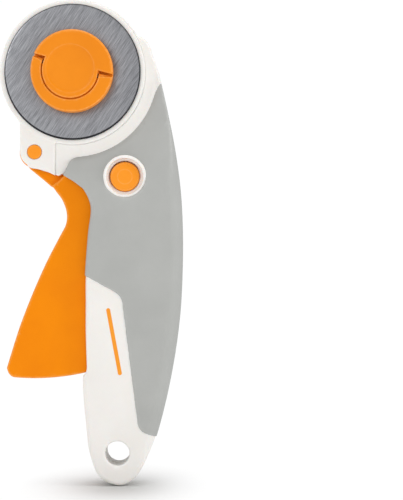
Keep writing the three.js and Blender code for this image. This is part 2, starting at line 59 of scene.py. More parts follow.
# ------------------------------------------------------------------ dimensions
# Millimetres in the tool's face frame: the blade axis is x = y = 0, y runs up the handle, z comes
# out of the blade face and z = 0 is where the two handle shells meet.
AXIS = (0, 0)
REST_Z = -9.5
BLADE_BACK, BLADE_FACE = 7.0, 7.3

# head: the guard's disc sits on the front shell's deck, inside the dished edge of the grip
GUARD_R, GUARD_BACK, GUARD_TOP, EAR_BACK = 24.0, 4.4, 6.6, 3.35
RECESS_R, RIM_SEAT_R, DECK_BACK, DECK_TOP = 24.4, 24.0, 1.8, 4.1
HEAD_R, HEAD_CENTRE = 24.1, (0.45, 0.35)
DISH_R, DISH_FLOOR, NOSE_TOP = 28.0, 6.0, 5.9

# trigger: its lever, the tongue inside the ear, and the steel plate inside the tongue
PIVOT = (-12.62, -26.4)
PIN_R, SWING, TONGUE_R, SHOULDER_R, FOOT_R = 2.34, 15.0, 5.03, 12.3, 74.9
TRIGGER_HALF, HOLLOW_HALF, TONGUE_HALF, PLATE_HALF, PLATE_R = 5.6, 3.8, 3.0, 1.0, 9.6
ARM = math.hypot(*PIVOT)
ARM_ANGLE = math.degrees(math.atan2(-PIVOT[1], -PIVOT[0]))
ARM_ROOM_R, PLATE_ROOM = 5.6, 0.6
# the corner of the plate's sweep that its disc doesn't cover
ARM_WINDOW_X, ARM_WINDOW_Y = (-16.0, -12.3), (-18.2, -14.9)

# cross bolt: its ring, its bore, the cone sunk into the ring's face and the cone's straight throat
LOCK, LOCK_RING_R, LOCK_BORE_R = (17.4, -34.7), 6.8, 4.95
CONE_Z, CONE_R, CONE_SLOPE, CONE_NORMAL = 8.7, 5.0, 1.02, 1.42
THROAT_R, THROAT_Z = 5.2, 6.5
RING_FOOT_R, RING_FOOT_INNER_R, RING_FOOT_BACK = 7.1, 6.0, 5.0
HANG, HANG_R = (14.8, -126.0), 4.0

# handle: front and rear half thickness at TAPER_FROM, thinning towards the tail
FRONT, REAR, TAPER, TAPER_FROM = 11.4, 9.3, 0.00395, -35.0
PROUD, SKIN, WALL, PARTING = 0.3, 1.5, 2.2, 0.05
SPINE_ROUND, FINGER_ROUND = 4.2, 1.3
SHELL_SCREWS = [(8, 19.4), (27.2, -13.5), (30.8, -62), (23.8, -109.5), (9.6, -109.5)]
SCREW_BOSS_R, SCREW_PILOT_R, SCREW_HOLE_R, SCREW_HEAD_R = 3.3, 1.25, 1.55, 2.9
SCREW_PILOT_TOP, SCREW_HEAD_TOP, SCREW_WELL_TOP = 3.2, -6.6, -5.0
# rear shell: the rest pad, and the seats of the bolt's clip, the return spring and the pin's head
PAD_R, CLIP_R, CLIP_SEAT = 20, 5.8, -5.6
SPRING_R, SPRING_LEG_R, SPRING_SEAT = 4.7, 9.4, -6.4
PIN_HEAD_R, PIN_HEAD_SEAT = 4.0, -8.0
GUARD_SCREW_ANGLES, GUARD_SCREW_ORBIT, GUARD_SCREW_R, GUARD_SCREW_HEAD_R = (120, 200, 330), 18.5, 1.3, 2.4
COUNTERSINK_BACK = 5.2
# distance and angle from the pivot
CARRIER_SCREWS, CARRIER_SCREW_R, CARRIER_SCREW_SEAT = [(6.2, -24), (5.2, -58)], 1.4, 2.0

# knob, its raised island and the half ring that flips up round it
KNOB_R, KNOB_BACK, KNOB_TOP, KNOB_BED = 13.6, 7.65, 12.2, 8.9
FACE_CENTRE, FACE_R, FACE_STEP, FACE_SINK = (-0.45, 0.7), 7.2, 0.9, 0.24
NUT_R, NUT_TOP = 4.35, 11.25
ISLAND, ISLAND_R, LEDGE_R, LEDGE_TOP = (-0.5, 0.15), 9.15, 9.45, 11.1
BAIL_R, BAIL_TILT, BAIL_AXIS_V, BAIL_AXIS_Z, BAIL_HALF = 13.5, math.radians(-15), 0.55, 10.6, 1.4
BAIL_GAP, BARREL_R = 0.38, 1.0
# the bail's pins lie along its axis from PIN_FROM to PIN_TO, and its ends are bevelled from NOTCH_FROM on
BAIL_PIN_R, PIN_BORE_R, PIN_FROM, PIN_TO = 0.72, 0.8, 7.6, 11.4
NOTCH_FROM, NOTCH_RUN, NOTCH_RISE = 9.2, 4.3, 0.9

# working distances
CLEAR = 0.3
FAR = 30


def to_world(p):
    """Face-frame millimetres to metres in the row frame."""
    p = np.asarray(p, float)
    return np.stack([p[..., 0], REST_Z - p[..., 2], p[..., 1]], -1) / 1000


# ------------------------------------------------------------------ outlines
def polar(centre, radius, degrees):
    a = math.radians(degrees)
    return (centre[0] + radius * math.cos(a), centre[1] + radius * math.sin(a))


def arc(centre, radius, start, end, step=2.0):
    n = max(2, int(abs(end - start) / step))
    return [polar(centre, radius, start + (end - start) * i / n) for i in range(n + 1)]


def spline(points, steps=10):
    """A smooth curve through the points."""
    p = np.asarray(points, float)
    out = []
    for i in range(len(p) - 1):
        a, b, c, d = p[max(i - 1, 0)], p[i], p[i + 1], p[min(i + 2, len(p) - 1)]
        v0, v1 = (c - a) / 2, (d - b) / 2
        for t in np.arange(steps) / steps:
            out.append((2 * b - 2 * c + v0 + v1) * t**3 + (-3 * b + 3 * c - 2 * v0 - v1) * t**2 + v0 * t + b)
    out.append(p[-1])
    return [tuple(q) for q in out]


def quadratic(a, b, c, steps=8):
    a, b, c = (np.asarray(q, float) for q in (a, b, c))
    return [tuple((1 - t) ** 2 * a + 2 * t * (1 - t) * b + t * t * c) for t in np.linspace(0, 1, steps + 1)]


def smoothstep(t):
    return t**2 * (3 - 2 * t)


def handle_outline():
    """Both shells: the nose, down the finger side, round the tail and up the spine to the shoulder."""
    nose = [(-7.5, -19), (-7.5, -33.2), (-5.76, -34.2), (-4.7, -34.65), (-3.4, -33.9), (-2.9, -34.2),
            (0.4, -36.15)]
    fingers = [(3.6, -38.6), (5.3, -41.6), (6.2, -45.7), (5.2, -54), (4.15, -68), (4.1, -78), (3.7, -90)]
    tail_side = [(3.7, -90), (3.1, -100.8), (3.43, -109), (4.9, -124.5)]
    tail = [(4.9, -124.5), (7.4, -132.3), (11, -135.8), (16.3, -137), (21, -134.3), (24.1, -129.4)]
    spine = [(24.1, -129.4), (28.2, -119), (32.5, -101), (35.45, -81), (36.4, -60), (35.9, -42),
             (34.1, -27), (31.2, -12), (28.5, 0)]
    shoulder = [(28.5, 0), (26.6, 5.2), (21.8, 10.4)]
    return (nose + spline(fingers) + spline(tail_side)[1:] + spline(tail)[1:]
            + spline(spine)[1:] + spline(shoulder)[1:] + [(11, 14)])


def grip_outline():
    """The area the grey grip covers. It runs on past the spine, where the handle's outline bounds it."""
    tip = [polar(AXIS, 31, -5), polar(AXIS, 29.5, -7), polar(AXIS, 28.7, -9.5), polar(AXIS, 28.2, -13)]
    nose = quadratic(polar(AXIS, DISH_R, -85), (-0.4, -28.3), (-1.1, -29.8))
    strip_top = quadratic((13.4, -72.2), (16.1, -73.6), (16.5, -76.2))
    strip_foot = quadratic((21.4, -115.4), (21.8, -118.7), (24.6, -119.6))
    return (tip + arc(AXIS, DISH_R, -17, -85) + nose[1:]
            + [(-3.0, -34.1), (-3.6, -35.4), (-3.6, -66.1), (4.1, -67.2), (13.4, -72.2)]
            + strip_top[1:] + [(21.4, -115.4)] + strip_foot[1:] + [(40, -125), (40, -2.7)])


def lug_outline(grow, right):
    """The ear that carries the trigger's pin, grown outwards and cut off at the right."""
    corner = TONGUE_R - 0.25 + grow
    foot = spline([polar(PIVOT, corner, 238), (-14.2, -31.5 - grow), (-11.2, -32.1 - grow),
                   (-7.7, -33.2 - grow)])
    return ([(PIVOT[0] - corner, -12)] + arc(PIVOT, corner, 180, 238) + foot[1:]
            + [(right, -34.2 - grow), (right, -12)])


def trigger_outline():
    front = [(-21.9, -97.8), (-18.2, -85.9), (-15.3, -78), (-12, -70), (-8.4, -62.1), (-4.3, -54.2),
             (-2.3, -50.2), (-2.1, -46.3), (-3.5, -42.3), (-5.4, -39.7)]
    toe = quadratic(polar(PIVOT, FOOT_R, -95.2), (-21.4, -100.6), front[0])
    return (arc(PIVOT, SHOULDER_R, -63, -34) + [(5.0, -38.8), (6.9, -45), (8.2, -52)]
            + arc(PIVOT, FOOT_R, -73.6, -95.2, 1) + toe[1:] + spline(front)[1:])


def trigger_slot_outline():
    """The room the trigger swings back into."""
    return (arc(PIVOT, SHOULDER_R - CLEAR, -100, -16)
            + [(8.3, -33.4), (11.6, -38.9), (15, -45.5), (18.8, -60)]
            + arc(PIVOT, FOOT_R + 0.5, -57.2, -100, 1))


def swing_slot(radius):
    """The path of a round post on the blade's axis as the trigger is squeezed."""
    end = polar(PIVOT, ARM, ARM_ANGLE + SWING)
    return (arc(PIVOT, ARM + radius, ARM_ANGLE, ARM_ANGLE + SWING)
            + arc(end, radius, ARM_ANGLE + SWING, ARM_ANGLE + SWING + 180, 10)
            + arc(PIVOT, ARM - radius, ARM_ANGLE + SWING, ARM_ANGLE)
            + arc(AXIS, radius, ARM_ANGLE + 180, ARM_ANGLE + 360, 10))


TONGUE = [(-15.2, -30.6), (-14.5, -31.8), (-9.7, -35.7), (-7.4, -37.7), (-5.2, -38.4), (-1.5, -38),
          (-2.1, -32.4), (-9.3, -22.7)]
TRIGGER_HOLLOW = [(0.5, -47), (12, -50), (12, -95.6), (-15.6, -96.6), (-9.4, -76), (-1.4, -57)]
# the handle steps in below the trigger
TRIM = [(4.15, -80), (4.8, -97.8), (4.4, -99.5), (2.6, -100.9), (-8, -100.9), (-8, -80)]
SHOULDER_EDGE = [(28.4, -0.3), (26.9, 3.9), (26.1, 7), (25, 9.6), (23.5, 11.2), (21.4, 12.4), (16, 14)]
SHOULDER = [(10, -12), (29.35, -3.8), (28.95, -2.0), (28.4, -0.3)] + spline(SHOULDER_EDGE)[1:] + [(10, 10)]
NOSE_FLAT = [(-7, -19), (-7, -36), (-3.5, -36), (-2.95, -34.1), (-1.05, -29.75), (-0.35, -28.7), (2.4, -27.9),
             (2.4, -19)]
REAR_NOSE = [(-6, -21), (-6, -34.3), (-2.4, -34.4), (3, -35), (3, -21)]


# ------------------------------------------------------------------ distance fields
class Block:
    """Sample points through a box, in face-frame millimetres.

    A field holds the distance to a surface at every point, negative inside the solid.
    """

    def __init__(self, lo, hi, step):
        self.lo = np.array(lo, float) - 2 * step
        self.step = step
        n = np.ceil((np.array(hi, float) + 2 * step - self.lo) / step).astype(int) + 1
        axes = [(self.lo[i] + step * np.arange(n[i])).astype(np.float32) for i in range(3)]
        self.x, self.y, self.z = axes[0][:, None, None], axes[1][None, :, None], axes[2][None, None, :]
        self.shape = tuple(n)

    def outline(self, points):
        """Distance in x and y to a closed outline."""
        px, py = self.x[:, :, 0], self.y[:, :, 0]
        best = np.full(self.shape[:2], 1e9, np.float32)
        inside = np.zeros(self.shape[:2], bool)
        for (ax, ay), (bx, by) in zip(points, points[1:] + points[:1]):
            ex, ey = bx - ax, by - ay
            length = ex * ex + ey * ey
            if length < 1e-9:
                continue
            wx, wy = px - ax, py - ay
            t = np.clip((wx * ex + wy * ey) / length, 0, 1)
            best = np.minimum(best, (wx - ex * t) ** 2 + (wy - ey * t) ** 2)
            side = ex * wy - ey * wx
            inside ^= ((ay <= py) & (by > py) & (side > 0)) | ((ay > py) & (by <= py) & (side < 0))
        d = np.sqrt(best)
        return np.where(inside, -d, d)[:, :, None]

    def round_about(self, centre, radius):
        """Distance to an upright cylinder."""
        return np.hypot(self.x - centre[0], self.y - centre[1]) - radius

    def drilled(self, places, radius):
        return np.minimum.reduce([self.round_about(at, radius) for at in places])


def both(a, b, r=0.0):
    """Where two solids overlap, with the edge between them rounded to radius r."""
    if np.ndim(r) == 0 and r <= 0:
        return np.maximum(a, b)
    return np.minimum(-r, np.maximum(a, b)) + np.sqrt(np.maximum(a + r, 0) ** 2 + np.maximum(b + r, 0) ** 2)


def either(a, b, r=0.0):
    """Two solids joined, with a fillet of radius r between them."""
    if r <= 0:
        return np.minimum(a, b)
    return np.maximum(r, np.minimum(a, b)) - np.sqrt(np.maximum(r - a, 0) ** 2 + np.maximum(r - b, 0) ** 2)


def cut(a, b, r=0.0):
    """Solid a with b taken away, with the rim rounded to radius r."""
    return both(a, -b, r)


def slab(flat, z, low, high, r=0.0):
    """An outline's field made solid from low to high."""
    return both(flat, np.maximum(low - z, z - high), r)


def sample(grid, where):
    """Values of a 3-D array at fractional indices."""
    base = np.clip(np.floor(where).astype(int), 0, np.array(grid.shape[:3]) - 2)
    f = where - base
    out = 0
    for corner in range(8):
        d = np.array([(corner >> k) & 1 for k in range(3)])
        w = np.prod(np.where(d, f, 1 - f), axis=1)
        i = base + d
        v = grid[i[:, 0], i[:, 1], i[:, 2]]
        out = out + (w[:, None] * v if v.ndim > 1 else w * v)
    return out


def new_object(name, verts, faces, edge):
    """A smooth-shaded object. Its point attribute "edge" is 1 on tight outside edges, where the moulded
    materials paint rubbed wear and a painted highlight.
    """
    me = bpy.data.meshes.new(name)
    me.from_pydata(to_world(verts), [], faces)
    me.validate()
    me.polygons.foreach_set("use_smooth", np.ones(len(me.polygons), bool))
    me.attributes.new("edge", "FLOAT", "POINT").data.foreach_set("value", edge)
    ob = bpy.data.objects.new(name, me)
    bpy.context.scene.collection.objects.link(ob)
    return ob


def piece_from_field(name, block, field):
    """A mesh of the field's surface, with the field's own normals."""
    field = np.broadcast_to(field, block.shape).astype(np.float32)
    h = block.step
    grid = openvdb.FloatGrid(3 * h)
    grid.copyFromArray(np.clip(field, -3 * h, 3 * h))
    points, tris, quads = grid.convertToPolygons(isovalue=0.0, adaptivity=0.01)
    slope = np.stack(np.gradient(np.clip(field, -4 * h, 4 * h), h), -1)
    normals = sample(slope, points)
    normals /= np.linalg.norm(normals, axis=1)[:, None] + 1e-9
    bend = sum(np.gradient(slope[..., k], h, axis=k) for k in range(3))
    edge = np.clip((sample(bend, points) - 0.35) / 1.4, 0, 1)
    faces = [tuple(int(i) for i in f) for f in quads] + [tuple(int(i) for i in f) for f in tris]
    ob = new_object(name, block.lo + points * h, faces, edge.astype(np.float32))
    world_normals = np.stack([normals[:, 0], -normals[:, 2], normals[:, 1]], -1)
    ob.data.normals_split_custom_set_from_vertices(world_normals)
    return ob


def turned(name, profile, segments, centre=AXIS, soft=0.12):
    """A lathe-turned piece about the z axis. Its profile corners are rounded off by soft."""
    p = np.asarray(profile, float)
    rounded, edge_tone = [], []
    for i in range(len(p)):
        a, b, c = p[i - 1], p[i], p[(i + 1) % len(p)]
        if b[0] < 1e-6:
            rounded.append(b)
            edge_tone.append(0)
            continue
        back, ahead = a - b, c - b
        reach = min(soft, 0.45 * np.linalg.norm(back), 0.45 * np.linalg.norm(ahead))
        start = b + back / np.linalg.norm(back) * reach
        end = b + ahead / np.linalg.norm(ahead) * reach
        rounded += [start, (start + 2 * b + end) / 4, end]
        edge_tone += [0, 1, 0]
    rings, verts, edge = [], [], []
    for (r, z), w in zip(rounded, edge_tone):
        edge += [w] * (1 if r < 1e-6 else segments)
        if r < 1e-6:
            rings.append([len(verts)])
            verts.append((centre[0], centre[1], z))
        else:
            rings.append(list(range(len(verts), len(verts) + segments)))
            a = np.arange(segments) * 2 * math.pi / segments
            verts += list(zip(centre[0] + r * np.cos(a), centre[1] + r * np.sin(a), np.full(segments, z)))
    faces = []
    for a, b in zip(rings, rings[1:] + rings[:1]):
        for i in range(segments):
            j = (i + 1) % segments
            face = list(dict.fromkeys([a[i % len(a)], a[j % len(a)], b[j % len(b)], b[i % len(b)]]))
            if len(face) > 2:
                faces.append(face)
    ob = new_object(name, verts, faces, edge)
    ob.data.set_sharp_from_angle(angle=math.radians(50))
    return ob


# ------------------------------------------------------------------ materials
def srgb(*rgb):
    linear = [c / 12.92 if c <= 0.04045 else ((c + 0.055) / 1.055) ** 2.4 for c in (v / 255 for v in rgb)]
    return (*linear, 1.0)


class Nodes:
    """Short names for building a node material."""

    def __init__(self, name):
        self.mat = bpy.data.materials.new(name)
        self.mat.use_nodes = True
        self.tree = self.mat.node_tree
        self.bsdf = self.tree.nodes["Principled BSDF"]
        self.coord = self.new("ShaderNodeTexCoord").outputs["Object"]

    def new(self, kind, **settings):
        node = self.tree.nodes.new(kind)
        for key, value in settings.items():
            setattr(node, key, value)
        return node

    def link(self, a, b):
        self.tree.links.new(a, b)

    def feed(self, socket, value):
        if isinstance(value, bpy.types.NodeSocket):
            self.link(value, socket)
        else:
            socket.default_value = value

    def noise(self, scale, detail, rough, vector=None):
        n = self.new("ShaderNodeTexNoise")
        n.inputs["Scale"].default_value = scale
        n.inputs["Detail"].default_value = detail
        n.inputs["Roughness"].default_value = rough
        self.link(vector or self.coord, n.inputs["Vector"])
        return n.outputs["Fac"]

    def math(self, op, a, b=0.0):
        n = self.new("ShaderNodeMath", operation=op)
        self.feed(n.inputs[0], a)
        self.feed(n.inputs[1], b)
        return n.outputs[0]

    def vector_math(self, op, a, b):
        n = self.new("ShaderNodeVectorMath", operation=op)
        self.feed(n.inputs[0], a)
        self.feed(n.inputs[1], b)
        return n

    def span(self, value, low, high, out_low, out_high):
        """Map low..high onto out_low..out_high."""
        n = self.new("ShaderNodeMapRange")
        for key, v in (("Value", value), ("From Min", low), ("From Max", high),
                       ("To Min", out_low), ("To Max", out_high)):
            self.feed(n.inputs[key], v)
        return n.outputs["Result"]

    def mix(self, factor, a, b):
        n = self.new("ShaderNodeMix", data_type="RGBA")
        self.feed(n.inputs["Factor"], factor)
        self.feed(n.inputs["A"], a)
        self.feed(n.inputs["B"], b)
        return n.outputs["Result"]

    def bump(self, height, strength, distance):
        n = self.new("ShaderNodeBump")
        n.inputs["Strength"].default_value = strength
        n.inputs["Distance"].default_value = distance
        self.link(height, n.inputs["Height"])
        self.link(n.outputs["Normal"], self.bsdf.inputs["Normal"])

    def attribute(self, name):
        return self.new("ShaderNodeAttribute", attribute_name=name).outputs["Fac"]

    def set(self, name, value):
        self.feed(self.bsdf.inputs[name], value)

    def base_colour(self):
        return self.bsdf.inputs["Base Color"].links[0].from_socket


def moulded(name, colour, shade, edge_tone, rough, grain, grain_depth, gloss, scatter=0.0):
    """Moulded plastic: slight colour drift, a fine spark texture, and smoother edges painted paler,
    partly as rubbed wear and partly as a painted highlight.

    colour and shade are the two tones, edge_tone is the edges' tone, partly rubbed wear and partly a painted
    highlight, grain is the texture's scale and grain_depth its height in metres, and scatter is how much
    light goes into the plastic.
    """
    n = Nodes(name)
    drift = n.noise(60, detail=4, rough=0.6)
    base = n.mix(n.span(drift, 0.35, 0.65, 0, 1), srgb(*colour), srgb(*shade))
    patchy = n.noise(900, detail=5, rough=0.65)
    edge_mask = n.math("MULTIPLY", n.attribute("edge"), n.span(patchy, 0.35, 0.7, 0.15, 1))
    # painted highlight: tight edges are mixed towards the paler edge colour, which is partly rubbed wear and
    # partly a painted highlight
    n.set("Base Color", n.mix(n.math("MULTIPLY", edge_mask, 0.55), base, srgb(*edge_tone)))
    blotch = n.span(n.noise(140, detail=5, rough=0.65), 0.3, 0.7, rough - 0.05, rough + 0.06)
    n.set("Roughness", n.math("SUBTRACT", blotch, n.math("MULTIPLY", edge_mask, 0.1)))
    n.set("Specular IOR Level", n.math("ADD", n.math("MULTIPLY", edge_mask, 0.5), gloss))
    if scatter:
        n.set("Subsurface Weight", scatter)
        n.set("Subsurface Radius", (1.0, 0.6, 0.4))
        n.set("Subsurface Scale", 0.0012)
    fine = n.noise(grain * 3.1, detail=2, rough=0.6)
    spark = n.math("ADD", n.noise(grain, detail=4, rough=0.7), n.math("MULTIPLY", fine, 0.4))
    n.bump(spark, strength=0.35, distance=grain_depth)
    return n


def white_plastic(name):
    return moulded(name, (235, 232, 228), (231, 228, 223), (242, 241, 238), rough=0.42, grain=2600,
                   grain_depth=0.00004, gloss=0.35, scatter=0.15)


def white_plastic_with_stripe(name):
    """White plastic with a plain orange pad-printed stripe along the front of the lower handle."""
    n = white_plastic(name)
    start, end = to_world((11.9, -78.6, 0)), to_world((15.7, -99.4, 0))
    half_width, blur = 0.00062, 0.0001
    along = Vector(end - start)
    length = along.length
    along.normalize()
    across = Vector((along.z, 0, -along.x))
    offset = n.vector_math("SUBTRACT", n.coord, start).outputs[0]

    def measure(direction):
        return n.vector_math("DOT_PRODUCT", offset, direction).outputs["Value"]

    from_middle = n.math("ABSOLUTE", n.math("SUBTRACT", measure(along), length / 2))
    past_end = n.math("MAXIMUM", n.math("SUBTRACT", from_middle, length / 2), 0)
    away = n.math("SQRT", n.math("ADD", n.math("POWER", past_end, 2), n.math("POWER", measure(across), 2)))
    ink = n.span(away, half_width, half_width + blur, 1, 0)
    front = n.span(measure((0, 1, 0)), -0.0005, 0, 1, 0)
    ink = n.math("MULTIPLY", ink, front)
    n.set("Base Color", n.mix(ink, n.base_colour(), srgb(240, 150, 20)))
    return n


def brushed_blade():
    """Ground blade steel: fine scratches running up to the right, and a painted dark reflection on the bevel
    at the rim.
    """
    n = Nodes("blade_brushed_steel")
    turn = n.new("ShaderNodeMapping")
    turn.inputs["Rotation"].default_value = (0, math.radians(56), 0)
    n.link(n.coord, turn.inputs["Vector"])

    def scratches(across, along, detail, shift):
        """Noise drawn out along one direction. across and along are the scales."""
        stretch = n.new("ShaderNodeMapping")
        stretch.inputs["Scale"].default_value = (along, 1, across)
        stretch.inputs["Location"].default_value = (shift, 0, shift)
        n.link(turn.outputs["Vector"], stretch.inputs["Vector"])
        return n.noise(1.0, detail=detail, rough=0.62, vector=stretch.outputs["Vector"])

    fine = scratches(9000, 300, 3, 0.1)
    coarse = scratches(4800, 170, 3, 3.7)
    broad = scratches(900, 60, 2, 7.1)
    lines = n.math("ADD", n.math("MULTIPLY", fine, 0.4), n.math("MULTIPLY", coarse, 0.6))
    tone = n.math("ADD", n.math("MULTIPLY", lines, 0.8), n.math("MULTIPLY", broad, 0.2))
    steel = n.mix(n.span(tone, 0.4, 0.6, 0, 1), srgb(113, 114, 118), srgb(169, 170, 174))
    place = n.new("ShaderNodeSeparateXYZ")
    n.link(n.coord, place.inputs[0])
    squares = [n.math("POWER", place.outputs[axis], 2) for axis in "XZ"]
    radius = n.math("SQRT", n.math("ADD", *squares))
    # the rim's dark band is a painted reflection, painted a little wider and darker towards the bottom of the
    # blade as painted shade
    low = n.span(n.math("DIVIDE", place.outputs["Z"], radius), -0.9, 0.7, 1, 0)
    reflection_band_start = n.math("SUBTRACT", 0.0222, n.math("MULTIPLY", low, 0.0004))
    bevel = n.span(n.math("SUBTRACT", radius, reflection_band_start), 0, 0.0001, 0, 1)
    # painted reflection and shade: the bevel band is coloured dark grey at the top and near black at the
    # bottom
    n.set("Base Color", n.mix(bevel, steel, n.mix(low, srgb(82, 83, 86), srgb(48, 48, 50))))
    n.set("Metallic", 1.0)
    n.set("Roughness", n.math("ADD", n.span(tone, 0.35, 0.65, 0.46, 0.34), n.math("MULTIPLY", bevel, -0.1)))
    n.bump(lines, strength=0.25, distance=0.00002)
    return n


def metal(name, light, dark, rough=0.4, edge_tone=(206, 207, 210)):
    """Plated or turned metal: two mottled tones, and brighter rubbed corners."""
    n = Nodes(name)
    mottle = 500
    tone = n.span(n.noise(mottle, detail=4, rough=0.6), 0.35, 0.65, 0, 1)
    n.set("Base Color", n.mix(tone, srgb(*light), srgb(*dark)))
    edge_mask = n.span(n.new("ShaderNodeNewGeometry").outputs["Pointiness"], 0.5, 0.58, 0, 1)
    n.set("Base Color", n.mix(n.math("MULTIPLY", edge_mask, 0.6), n.base_colour(), srgb(*edge_tone)))
    n.set("Metallic", 1.0)
    smudge = n.span(n.noise(mottle * 2.3, detail=5, rough=0.65), 0.3, 0.7, rough - 0.07, rough + 0.1)
    n.set("Roughness", n.math("SUBTRACT", smudge, n.math("MULTIPLY", edge_mask, 0.08)))
    n.bump(n.noise(mottle * 5, detail=3, rough=0.6), strength=0.2, distance=0.00002)
    return n.mat


# the third tone of each moulded plastic is its edge colour: partly rubbed wear, partly a painted highlight
WHITE = white_plastic("white_moulded_plastic").mat
WHITE_STRIPED = white_plastic_with_stripe("white_moulded_plastic_with_stripe").mat
GREY = moulded("grey_soft_grip", (173, 174, 171), (168, 169, 166), (186, 187, 184), rough=0.72,
               grain=3200, grain_depth=0.00009, gloss=0.3).mat
ORANGE = moulded("orange_plastic", (236, 137, 8), (230, 131, 4), (252, 176, 84), rough=0.42,
                 grain=2400, grain_depth=0.00003, gloss=0.2).mat
BUTTON = moulded("orange_button_plastic", (246, 150, 24), (242, 144, 18), (252, 172, 76), rough=0.42,
                 grain=2400, grain_depth=0.00003, gloss=0.25).mat
TRIGGER = moulded("deep_orange_trigger_plastic", (241, 137, 0), (236, 131, 0), (255, 184, 84), rough=0.5,
                  grain=2200, grain_depth=0.00004, gloss=0.08).mat
BLADE = brushed_blade().mat
STEEL = metal("bright_steel", (182, 184, 189), (150, 152, 158), rough=0.3)
DARK_STEEL = metal("dark_plated_steel", (104, 106, 112), (76, 78, 84))
BLACK_STEEL = metal("blackened_steel", (46, 44, 43), (32, 30, 30), rough=0.6, edge_tone=(84, 80, 78))
BRASS = metal("turned_brass", (200, 166, 92), (172, 138, 66), rough=0.32)


def finish_piece(ob, body, material, node):
    """Give a piece its material, and let it stand for a CAD node on a moving body."""
    ob.data.materials.append(material)
    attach(ob, body)
    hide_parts(node)


# ------------------------------------------------------------------ handle shells and grips
handle_block = Block((-25, -138, -9.8), (37.5, 25.5, 11.6), step=0.34)
x, y, z = handle_block.x, handle_block.y, handle_block.z
# distance from the blade's axis
axis_flat = np.hypot(x, y)
taper = 1 + TAPER * (y - TAPER_FROM)

# how the surface climbs outside the dish: run past its edge, and height above its floor
DISH_RUN = np.array([-0.6, 0, 1.2, 6, 12, 20, 30, 60])
DISH_RISE = [0, 0, 0.3, 1.5, 3.1, 4.4, 5.4, 6.1, 8, 30]


def dish(deeper):
    """Height field of the dished area round the head: negative below its surface."""
    step, blur = 0.25, 9
    stations = np.concatenate([[0], DISH_R + deeper + DISH_RUN, [400]])
    heights = DISH_FLOOR - deeper + np.array(DISH_RISE)
    run = np.arange(0, 170, step)
    kernel = np.hanning(blur)
    level = np.pad(np.interp(run, stations, heights), blur // 2, mode="edge")
    level = np.convolve(level, kernel / kernel.sum(), "valid")
    steep = np.interp(axis_flat, run, np.gradient(level, step))
    return (z - np.interp(axis_flat, run, level)) / np.sqrt(1 + steep**2)


# the spine is rolled over generously, and the finger side and the tail only a little
middle = np.interp(y, [-137, -120, -60, -30, 0], [13, 14, 19, 17, 12])
spine_side = np.clip((x - middle + 5) / 10, 0, 1)
above_tail = np.clip((y + 130) / 14, 0, 1)
edge_round = FINGER_ROUND + (SPINE_ROUND - FINGER_ROUND) * smoothstep(spine_side) * above_tail

handle_flat = handle_block.outline(handle_outline())
grip_flat = handle_block.outline(grip_outline())
head_flat = handle_block.round_about(HEAD_CENTRE, HEAD_R)
shoulder_flat = handle_block.outline(SHOULDER)
# distances from the cross bolt's and the pivot's axes
lock_flat = handle_block.round_about(LOCK, 0)
pivot_flat = handle_block.round_about(PIVOT, 0)
dish0 = dish(0)


def handle_body(inset, front, rear, roll=1.0):
    """The handle's rolled-over form. roll scales the rounding of its edges."""
    high = np.where(z > 0, z - front * taper, -rear - z)
    return both(handle_flat + inset, high, edge_round * roll)


def core(gap=0.0):
    """The white handle under the grip, with its face moved out by a gap."""
    skin = SKIN - gap
    body = handle_body(skin, FRONT - PROUD - SKIN + gap, REAR - skin, 0.75)
    return both(body, dish(skin), 0.8)


REAR_WHITE = REAR - PROUD
white_body = handle_body(PROUD, FRONT - PROUD, REAR_WHITE)
grip_body = both(handle_body(0, FRONT, REAR), dish0, 0.4)
# the white runs a little way under the grip's edge and lies just below the grip's surface there
grip_void = both(grip_flat + 0.45, -core())
under_grip = both(grip_flat, -(grip_body + 0.3))

# rooms inside both shells for the trigger, its tongue, the steel arm and the fasteners
trigger_slot = handle_block.outline(trigger_slot_outline())
trigger_slot = slab(trigger_slot, z, -TRIGGER_HALF - CLEAR, TRIGGER_HALF + CLEAR)
chamber = slab(pivot_flat - SHOULDER_R - CLEAR, z, -TONGUE_HALF - CLEAR, TONGUE_HALF + CLEAR)
chamber = cut(chamber, axis_flat - (HEAD_R - CLEAR))
arm_window = np.maximum(np.maximum(ARM_WINDOW_X[0] - x, x - ARM_WINDOW_X[1]),
                        np.maximum(ARM_WINDOW_Y[0] - y, y - ARM_WINDOW_Y[1]))
arm_opening = np.minimum(pivot_flat - PLATE_R, arm_window)
arm_opening = slab(arm_opening, z, -PLATE_HALF - PLATE_ROOM, PLATE_HALF + PLATE_ROOM)
trim = handle_block.outline(TRIM)
hang = handle_block.round_about(HANG, HANG_R)

# the cavity, which leaves walls, a web behind the trigger's foot, the bolt's ring and the screw bosses
CAVITY_FOOT_Y, WEB_R, WEB_HALF = -117.5, FOOT_R + 1.55, 1.05
cavity = handle_body(SKIN + WALL, FRONT - PROUD - SKIN - 1.7, REAR - SKIN - 1.5, 0.3)
cavity = both(cavity, dish(SKIN + 1.6))
cavity = np.maximum(cavity, CAVITY_FOOT_Y - y)
cavity = cut(cavity, np.maximum(axis_flat - (DISH_R + 3), DECK_BACK - z))
cavity = either(cavity, slab(axis_flat - (HEAD_R - WALL - CLEAR), z, -7, DECK_BACK))
cavity = cut(cavity, np.abs(pivot_flat - WEB_R) - WEB_HALF)
cavity = cut(cavity, lock_flat - LOCK_RING_R)
cavity = cut(cavity, handle_block.drilled(SHELL_SCREWS, SCREW_BOSS_R))


def open_up(shell):
    """Everything both shells leave room for: the cavity, the trigger, the blade arm and the hang hole."""
    shell = cut(shell, cavity, 0.3)
    shell = cut(shell, trigger_slot, 0.3)
    shell = cut(shell, chamber, 0.25)
    shell = cut(shell, arm_opening)
    shell = cut(shell, trim, 0.4)
    return cut(shell, hang, 0.45)


